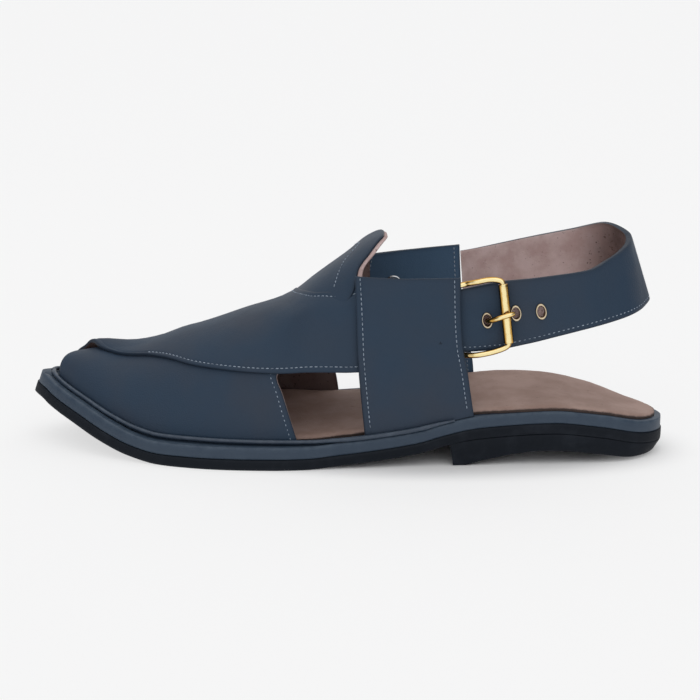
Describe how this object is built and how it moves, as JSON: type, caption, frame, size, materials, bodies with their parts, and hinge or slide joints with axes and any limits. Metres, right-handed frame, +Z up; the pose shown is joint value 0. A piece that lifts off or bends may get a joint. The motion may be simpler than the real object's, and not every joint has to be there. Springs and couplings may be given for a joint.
{
  "type": "peshawari chappal",
  "caption": "Left leather sandal with crossed front straps, two side wings, a buckled heel strap, an insole and a layered sole with a low heel.",
  "frame": {"origin": "middle of the bounding box in plan, on the floor under the sole", "axes": "+X from the toe to the heel, -Y to the outer side with the buckle, +Z up"},
  "size_m": [0.285, 0.097, 0.0988],
  "materials": {
    "navy_leather": "matte",
    "tan_leather": "matte",
    "edge_paint": "satin",
    "black_rubber": "matte",
    "brass": "polished",
    "steel": "polished"
  },
  "bodies": {
    "root": {"outsole": "black_rubber", "heel_lift": "black_rubber", "midsole": "edge_paint", "insole": "tan_leather", "welt": "navy_leather", "upper": "navy_leather", "wing_outer": "navy_leather", "wing_inner": "navy_leather", "heel_strap": "navy_leather", "buckle_frame": "brass", "buckle_roller": "brass", "buckle_prong": "brass", "eyelet_1": "brass", "eyelet_2": "brass", "eyelet_3": "brass", "wing_eyelet": "steel"}
  },
  "joints": []
}
